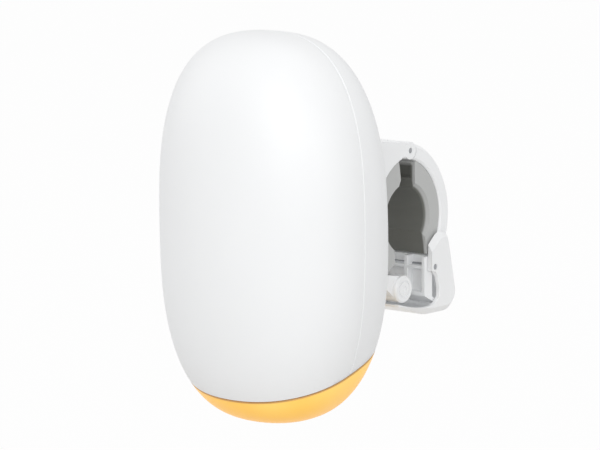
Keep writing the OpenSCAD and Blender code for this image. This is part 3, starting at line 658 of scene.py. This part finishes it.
def metal(name, colour, roughness, mark_mm, stretch):
    """A bare or plated metal, with fine marks drawn out along the axis where stretch is small."""
    darker = 0.82
    material, tree = new_material(name)
    place = add(tree, "ShaderNodeTexCoord").outputs["Object"]
    drawn = add(tree, "ShaderNodeVectorMath", {"operation": "MULTIPLY", 1: stretch}, {0: place})
    marks = add(tree, "ShaderNodeTexNoise", {"Scale": 1 / (mark_mm * MM), "Detail": 4.0, "Roughness": 0.65},
                {"Vector": drawn.outputs[0]}).outputs["Fac"]
    dark = [c * darker for c in linear(colour)[:3]] + [1.0]
    shade = add(tree, "ShaderNodeMix", {"data_type": "RGBA", 6: dark, 7: linear(colour)}, {0: marks})
    gloss = add(tree, "ShaderNodeMapRange", {"To Min": roughness - 0.08, "To Max": roughness + 0.1}, {"Value": marks})
    relief = add(tree, "ShaderNodeBump", {"Strength": 0.3, "Distance": 0.006 * MM}, {"Height": marks})
    surface = add(tree, "ShaderNodeBsdfPrincipled", {"Metallic": 1.0}, {
        "Base Color": shade.outputs[2], "Roughness": gloss.outputs[0], "Normal": relief.outputs[0]})
    add(tree, "ShaderNodeOutputMaterial", {}, {"Surface": surface.outputs[0]})
    return material


# Bright zinc over steel, tumbled with the other screws: a cool silver, with faint dull marks of a quarter of a
# millimetre lying every way.
zinc_plate = metal("bright_zinc_plated_steel", "#C9CBCE", roughness=0.28, mark_mm=0.25, stretch=(1.0, 1.0, 1.0))


def screw(x, z, seat, tip, head_radius, head_height, thread_radius):
    """A pan-head screw along Y with its thread as rings: its head starts at the seat and points away from the tip."""
    way = 1 if tip > seat else -1
    top = seat - way * head_height
    core = thread_radius * THREAD_CORE
    profile = [(head_radius * wide, top + way * head_height * deep) for wide, deep in HEAD_DOME] + [(core, seat)]
    for i in range(int(abs(tip - seat) / THREAD_PITCH) - 2):
        y = seat + way * (i + 0.6) * THREAD_PITCH
        profile += [(core, y), (thread_radius, y + way * 0.32 * THREAD_PITCH), (core, y + way * 0.64 * THREAD_PITCH)]
    profile += [(core, tip - way * THREAD_PITCH), (thread_radius * 0.25, tip)]
    return turned(x, z, profile, 24)


def cross_recess(piece, heads, reach, depth):
    """Cuts a driver's cross into each head, given as its x, z, outer y and the way into the head."""
    narrow = reach * CROSS_WIDTH
    for wide, high in ((reach, narrow), (narrow, reach)):
        carve(piece, "DIFFERENCE", [box((x - wide, min(y - way, y + way * depth), z - high),
                                        (x + wide, max(y - way, y + way * depth), z + high))
                                    for x, z, y, way in heads])


def screw_set(name, places, seat, tip, sizes):
    """The screws of one kind as one piece. Seat and tip are functions of x and z."""
    head_radius, head_height, _ = sizes
    points, faces = joined([screw(x, z, seat(x, z), tip(x, z), *sizes) for x, z in places])
    piece = new_piece(name + "_visual", mesh_of(name, to_place(points), faces, 30), "unit", zinc_plate)
    heads = []
    for x, z in places:
        way = 1 if tip(x, z) > seat(x, z) else -1
        heads.append((x, z, seat(x, z) - way * head_height, way))
    cross_recess(piece, heads, head_radius * CROSS_REACH, head_height * CROSS_DEPTH)
    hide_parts(name)


dress("main_board", board_mask, width_mm=0.1)
screw_set("board_screws", STANDOFFS, lambda x, z: BOARD_BACK - BOARD_THICKNESS,
          lambda x, z: BOARD_BACK + BOARD_SCREW_REACH, BOARD_SCREW)

# Epoxy full of ground silica, pressed round the chips: charcoal and dull, with a sandy grain of a quarter of a
# millimetre.
chip_epoxy = moulded("black_filled_epoxy", "#1E1E20", roughness=0.55, grain_mm=0.25, grain_depth_mm=0.008)
dress("board_chips", chip_epoxy, width_mm=0.12)

# Nickel-plated steel drawn to a flat tube: a warm, fairly bright silver. The nylon tongue that carries the contacts
# lies black in the middle of its mouth.
socket_steel, tree = new_material("nickel_plated_socket_with_black_tongue")
place = add(tree, "ShaderNodeTexCoord").outputs["Object"]
parts = add(tree, "ShaderNodeSeparateXYZ", {}, {"Vector": place}).outputs
above = add(tree, "ShaderNodeMath", {"operation": "SUBTRACT", 1: BODY_CENTRE.z + USB_Z * MM}, {0: parts["Z"]})
tongue = []
for distance, half in ((above.outputs[0], TONGUE_HALF_HEIGHT), (parts["X"], TONGUE_HALF_WIDTH)):
    size = add(tree, "ShaderNodeMath", {"operation": "ABSOLUTE"}, {0: distance}).outputs[0]
    tongue.append(add(tree, "ShaderNodeMath", {"operation": "LESS_THAN", 1: half * MM}, {0: size}).outputs[0])
tongue = add(tree, "ShaderNodeMath", {"operation": "MULTIPLY"}, {0: tongue[0], 1: tongue[1]}).outputs[0]
marks = add(tree, "ShaderNodeTexNoise", {"Scale": 1 / (0.4 * MM), "Detail": 3.0}, {"Vector": place}).outputs["Fac"]
shade = add(tree, "ShaderNodeMix", {"data_type": "RGBA", 6: linear("#CDC9C0"), 7: linear("#161617")}, {0: tongue})
bare = add(tree, "ShaderNodeMath", {"operation": "SUBTRACT", 0: 1.0}, {1: tongue})
gloss = add(tree, "ShaderNodeMapRange", {"To Min": 0.22, "To Max": 0.36}, {"Value": marks})
surface = add(tree, "ShaderNodeBsdfPrincipled", {}, {
    "Base Color": shade.outputs[2], "Metallic": bare.outputs[0], "Roughness": gloss.outputs[0]})
add(tree, "ShaderNodeOutputMaterial", {}, {"Surface": surface.outputs[0]})
dress("usb_socket", socket_steel, width_mm=0.08)


# The battery cell lies upright in a black moulded cradle behind the front shell. The cell wears a blue shrunk
# sleeve that turns a little way over its nickel-plated ends.
CELL_HALF, BARE_END = 25.0, 1.05  # half the can's length, and how much of each end the sleeve leaves bare

# Glossy blue shrink film, with slow ripples of about 3 mm from the heat. Past its edge the nickel of the can shows,
# pale and metallic.
sleeve, tree = new_material("blue_shrink_sleeve_over_nickel_can")
place = add(tree, "ShaderNodeTexCoord").outputs["Object"]
height = add(tree, "ShaderNodeSeparateXYZ", {}, {"Vector": place}).outputs["Z"]
above = add(tree, "ShaderNodeMath", {"operation": "SUBTRACT", 1: BODY_CENTRE.z}, {0: height})
from_middle = add(tree, "ShaderNodeMath", {"operation": "ABSOLUTE"}, {0: above.outputs[0]})
bare_end = add(tree, "ShaderNodeMath", {"operation": "GREATER_THAN", 1: (CELL_HALF - BARE_END) * MM},
               {0: from_middle.outputs[0]}).outputs[0]
ripple = add(tree, "ShaderNodeTexNoise", {"Scale": 1 / (3.0 * MM), "Detail": 3.0}, {"Vector": place}).outputs["Fac"]
shade = add(tree, "ShaderNodeMix", {"data_type": "RGBA", 6: linear("#2E6AA8"), 7: linear("#C8C6C0")}, {0: bare_end})
gloss = add(tree, "ShaderNodeMapRange", {"To Min": 0.2, "To Max": 0.34}, {"Value": ripple})
relief = add(tree, "ShaderNodeBump", {"Strength": 0.3, "Distance": 0.05 * MM}, {"Height": ripple})
surface = add(tree, "ShaderNodeBsdfPrincipled", {}, {
    "Base Color": shade.outputs[2], "Metallic": bare_end, "Roughness": gloss.outputs[0],
    "Normal": relief.outputs[0]})
add(tree, "ShaderNodeOutputMaterial", {}, {"Surface": surface.outputs[0]})
dress("battery_cell", sleeve, width_mm=0.3)

# Black ABS from a coarse mould: dull charcoal, with a grain of 0.4 mm that greys it where light grazes it.
cradle_plastic = moulded("matt_black_moulded_abs", "#232325", roughness=0.5, grain_mm=0.4, grain_depth_mm=0.015)
dress("battery_cradle", cradle_plastic, width_mm=0.3)


# The loudspeaker faces the grille in the upper rear wall. Its pressed steel basket is stove-enamelled black, its
# magnet is sintered ferrite, its cone pressed paper, and a foam ring seals it to the shell.

# Enamel baked on steel: nearly black and glossy, with a shallow orange peel of about a millimetre.
enamel = moulded("black_stove_enamel", "#1B1B1D", roughness=0.32, grain_mm=0.9, grain_depth_mm=0.01)
dress("speaker_basket", enamel, width_mm=0.15)

# Ferrite, pressed and fired: dark grey and stony, with pits of 0.15 mm and hardly any shine.
ferrite = moulded("dark_sintered_ferrite", "#4A4A4C", roughness=0.6, grain_mm=0.15, grain_depth_mm=0.02)
dress("speaker_magnet", ferrite, width_mm=0.3)

# Pressed pulp: soft charcoal with paler fibres lying every way. They are drawn half a millimetre thick, several times
# the real ones, so that they show.
pulp, tree = new_material("charcoal_pressed_paper")
place = add(tree, "ShaderNodeTexCoord").outputs["Object"]
fibres = add(tree, "ShaderNodeTexNoise", {"Scale": 1 / (0.5 * MM), "Detail": 6.0, "Distortion": 2.5},
             {"Vector": place}).outputs["Fac"]
strands = add(tree, "ShaderNodeMapRange", {"From Min": 0.45, "From Max": 0.62}, {"Value": fibres}).outputs[0]
shade = add(tree, "ShaderNodeMix", {"data_type": "RGBA", 6: linear("#38352F"), 7: linear("#57524A")}, {0: strands})
relief = add(tree, "ShaderNodeBump", {"Strength": 0.6, "Distance": 0.04 * MM}, {"Height": fibres})
surface = add(tree, "ShaderNodeBsdfPrincipled", {"Roughness": 0.85, "IOR": 1.4}, {
    "Base Color": shade.outputs[2], "Normal": relief.outputs[0]})
add(tree, "ShaderNodeOutputMaterial", {}, {"Surface": surface.outputs[0]})
dress("speaker_cone", pulp, width_mm=0.1)

# Closed-cell foam, cut from sheet: black without any shine, its cut face full of pits of 0.35 mm, darker inside.
foam, tree = new_material("black_closed_cell_foam")
place = add(tree, "ShaderNodeTexCoord").outputs["Object"]
cells = add(tree, "ShaderNodeTexVoronoi", {"Scale": 1 / (0.35 * MM)}, {"Vector": place}).outputs["Distance"]
shade = add(tree, "ShaderNodeMix", {"data_type": "RGBA", 6: linear("#0F0F10"), 7: linear("#2B2B2C")}, {0: cells})
relief = add(tree, "ShaderNodeBump", {"Strength": 0.8, "Distance": 0.08 * MM}, {"Height": cells})
surface = add(tree, "ShaderNodeBsdfPrincipled", {"Roughness": 0.9, "IOR": 1.4}, {
    "Base Color": shade.outputs[2], "Normal": relief.outputs[0]})
add(tree, "ShaderNodeOutputMaterial", {}, {"Surface": surface.outputs[0]})
dress("speaker_gasket", foam, width_mm=0.3)


# The controls. Five white caps slide in turned holes in the rear shell's side and press tactile switches on a
# narrow board. Their tops are broken round the edge, and satin like the shell but from a separate mould.
dress("key_board", board_mask, width_mm=0.1)

# Moulded nylon: black with a soft sheen, smoother than the cradle.
switch_nylon = moulded("black_switch_nylon", "#202022", roughness=0.42, grain_mm=0.3, grain_depth_mm=0.008)
dress("key_switches", switch_nylon, width_mm=0.15)

# The same ABS as the shells in a greyer batch, so that the caps read as separate pieces; the grain is a shade finer.
cap_plastic = moulded("satin_white_button_abs", "#ECEDEC", roughness=0.42, grain_mm=0.3, grain_depth_mm=0.01)
for name in ("power_button", "play_button", "light_button", "volume_up_button", "volume_down_button"):
    dress(name, cap_plastic, width_mm=0.1)


# The case screws. Four zinc-plated pan-head screws lie deep in the rear shell's seats and bite into the front
# shell's posts, which closes the pebble.
CASE_SCREW = (2.7, 2.0, 1.14)  # head radius, head height and thread radius
CASE_SCREW_TIP = -9.0  # from the parting plane
screw_set("case_screws", CASE_SCREWS, head_seat, lambda x, z: CASE_SCREW_TIP, CASE_SCREW)


# The clamp's fixed jaw. One moulding of white nylon, held by four screws that come from inside the rear shell,
# through the pad and into its bracket. A solid rod with two ringed caps runs through the catch barrel at its foot.
FOLD_TURN, FOLD_AREA = math.radians(172), 3e-8  # a fold turns more than this, over more than this many m2
SHARP_REACH = 4  # in rounding widths, around a fold
ROUNDING_TRIES = 4
BRACKET_SCREW = (2.7, 1.9, 1.19)  # head radius, head height and thread radius
BRACKET_SCREW_REACH = 5.3


def rounded(mesh, width_mm, least_mm, merge_flats, sharp_places):
    """A mesh with its longer edges rounded, but none near the sharp places, and the places where it folds over."""
    work = bmesh.new()
    work.from_mesh(mesh)
    bmesh.ops.remove_doubles(work, verts=work.verts, dist=WELD_REACH * MM)
    if merge_flats:
        bmesh.ops.dissolve_limit(work, angle_limit=FLAT_TURN, verts=work.verts, edges=work.edges)
    crowded = {v for v in work.verts if min(e.calc_length() for e in v.link_edges) < least_mm * MM}

    def clear(edge):
        """Whether an edge keeps away from every sharp place."""
        a, b = (v.co for v in edge.verts)
        for place in sharp_places:
            share = min(max((place - a).dot(b - a) / (b - a).length_squared, 0.0), 1.0)
            if (a + (b - a) * share - place).length < SHARP_REACH * width_mm * MM:
                return False
        return True

    edges = [e for e in work.edges if len(e.link_faces) == 2 and e.calc_face_angle(0) > EDGE_TURN
             and not crowded.intersection(e.verts) and clear(e)]
    bmesh.ops.bevel(work, geom=edges, offset=width_mm * MM, offset_type="OFFSET", segments=EDGE_STEPS, profile=0.5,
                    affect="EDGES", clamp_overlap=True)
    bmesh.ops.recalc_face_normals(work, faces=work.faces)
    bmesh.ops.triangulate(work, faces=[f for f in work.faces if len(f.verts) > 4])
    folds = [sum((v.co for v in e.verts), Vector()) / 2 for e in work.edges
             if len(e.link_faces) == 2 and e.calc_face_angle(0) > FOLD_TURN
             and min(f.calc_area() for f in e.link_faces) > FOLD_AREA]
    return work, folds


def eased(node, body, material, width_mm, least_mm, merge_flats=False):
    """A copy of a CAD piece with its longer edges rounded, which stands for it. An edge is left sharp where an edge
    that meets it is shorter than least_mm, and where its rounding would fold over."""
    sharp_places = []
    for _ in range(ROUNDING_TRIES):
        work, folds = rounded(nodes[node].data, width_mm, least_mm, merge_flats, sharp_places)
        if not folds:
            break
        sharp_places += folds
    mesh = bpy.data.meshes.new(node + "_moulding")
    work.to_mesh(mesh)
    work.free()
    if "custom_normal" in mesh.attributes:
        mesh.attributes.remove(mesh.attributes["custom_normal"])
    mesh.materials.clear()
    mesh.shade_smooth()
    mesh.set_sharp_from_angle(angle=EDGE_TURN)
    piece = new_piece(node + "_moulding", mesh, body, material)
    step = piece.modifiers.new("weighted_normal", "WEIGHTED_NORMAL")
    step.weight, step.keep_sharp = FACE_WEIGHT, True
    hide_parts(node)


# Nylon from a smoother mould than the shells: a cleaner white with tighter highlights along its edges. The grain is
# drawn at half a millimetre, several times the real one, so that the gloss is broken a little.
clamp_plastic = moulded("smooth_white_moulded_nylon", "#FBFCFD", roughness=0.33, grain_mm=0.5, grain_depth_mm=0.01)
eased("fixed_jaw", "unit", clamp_plastic, width_mm=0.4, least_mm=0.9)
dress("catch_caps", clamp_plastic)
dress("catch_rod", clamp_plastic, width_mm=0.2)
screw_set("bracket_screws", BRACKET_SCREWS, lambda x, z: PAD_INSIDE, lambda x, z: PAD_FACE + BRACKET_SCREW_REACH,
          BRACKET_SCREW)


# The swing jaw and the lever. The jaw is a ring of the same nylon with a ribbed leg; it turns on a ground steel
# pin. The thin-walled lever turns on a second pin in the leg, and its foot wraps the catch barrel from below.
eased("swing_jaw", "jaw", clamp_plastic, width_mm=0.35, least_mm=1.3, merge_flats=True)
eased("latch_lever", "lever", clamp_plastic, width_mm=0.3, least_mm=1.3)

# Steel rod, drawn and then ground, and left bare: a darker, neutral grey with hairlines along its length.
ground_steel = metal("ground_steel_pin", "#A9ABAE", roughness=0.3, mark_mm=0.4, stretch=(0.15, 1.0, 1.0))
dress("hinge_pin", ground_steel, width_mm=0.15)
dress("lever_pin", ground_steel, width_mm=0.15)


# The two liners: grey thermoplastic rubber, moulded matt, pressed into the jaws so that they grip a bar without
# marking it. The bore is painted darker than the faces: painted shade for the deep cavity, not a different rubber.
# The faces' grey, and the darker grey that paints shade into the bore.
LINER_FACE, LINER_BORE_SHADE = "#C0C1C0", "#6E6F6A"
BORE_EDGE, BORE_FADE = 18.0, 1.0  # the radius that bounds the bore, and the width of its soft edge
LINER_HALF, RIM_IN, RIM_OUT = 12.2, 0.4, 0.3  # half the liner's length, and the soft edge on either side of its end

# Thermoplastic rubber from a matt mould: a mid grey that takes no highlights, with painted shade in the bore that
# makes it darker and browner. The grain of 0.3 mm is drawn about three times as coarse as the real one, so that it
# shows.
liner_rubber, tree = new_material("matt_grey_moulded_tpe")
place = add(tree, "ShaderNodeTexCoord").outputs["Object"]
grain = add(tree, "ShaderNodeTexNoise", {"Scale": 1 / (0.3 * MM), "Detail": 3.0}, {"Vector": place}).outputs["Fac"]
from_axis = add(tree, "ShaderNodeVectorMath", {"operation": "MULTIPLY", 1: (0.0, 1.0, 1.0)}, {0: place})
radius = add(tree, "ShaderNodeVectorMath", {"operation": "LENGTH"}, {0: from_axis.outputs[0]}).outputs["Value"]
# Painted shade: inside the bore radius and between the liner's ends, the colour is darkened.
bore_shade_mask = add(tree, "ShaderNodeMapRange", {
    "interpolation_type": "SMOOTHSTEP", "From Min": (BORE_EDGE + BORE_FADE) * MM, "From Max": BORE_EDGE * MM},
    {"Value": radius})
along = add(tree, "ShaderNodeSeparateXYZ", {}, {"Vector": place}).outputs["X"]
along = add(tree, "ShaderNodeMath", {"operation": "ABSOLUTE"}, {0: along}).outputs[0]
inward = add(tree, "ShaderNodeMapRange", {
    "interpolation_type": "SMOOTHSTEP", "From Min": (LINER_HALF + RIM_OUT) * MM,
    "From Max": (LINER_HALF - RIM_IN) * MM}, {"Value": along})
share = add(tree, "ShaderNodeMath", {"operation": "MULTIPLY"}, {0: bore_shade_mask.outputs[0], 1: inward.outputs[0]})
shade = add(tree, "ShaderNodeMix", {"data_type": "RGBA", 6: linear(LINER_FACE), 7: linear(LINER_BORE_SHADE)},
            {0: share.outputs[0]})
relief = add(tree, "ShaderNodeBump", {"Strength": 0.5, "Distance": 0.02 * MM}, {"Height": grain})
gloss = add(tree, "ShaderNodeMapRange", {"To Min": 0.58, "To Max": 0.7}, {"Value": grain})
surface = add(tree, "ShaderNodeBsdfPrincipled", {"IOR": 1.5}, {
    "Base Color": shade.outputs[2], "Roughness": gloss.outputs[0], "Normal": relief.outputs[0]})
add(tree, "ShaderNodeOutputMaterial", {}, {"Surface": surface.outputs[0]})
eased("fixed_liner", "unit", liner_rubber, width_mm=0.35, least_mm=1.3)
eased("swing_liner", "jaw", liner_rubber, width_mm=0.35, least_mm=1.3)
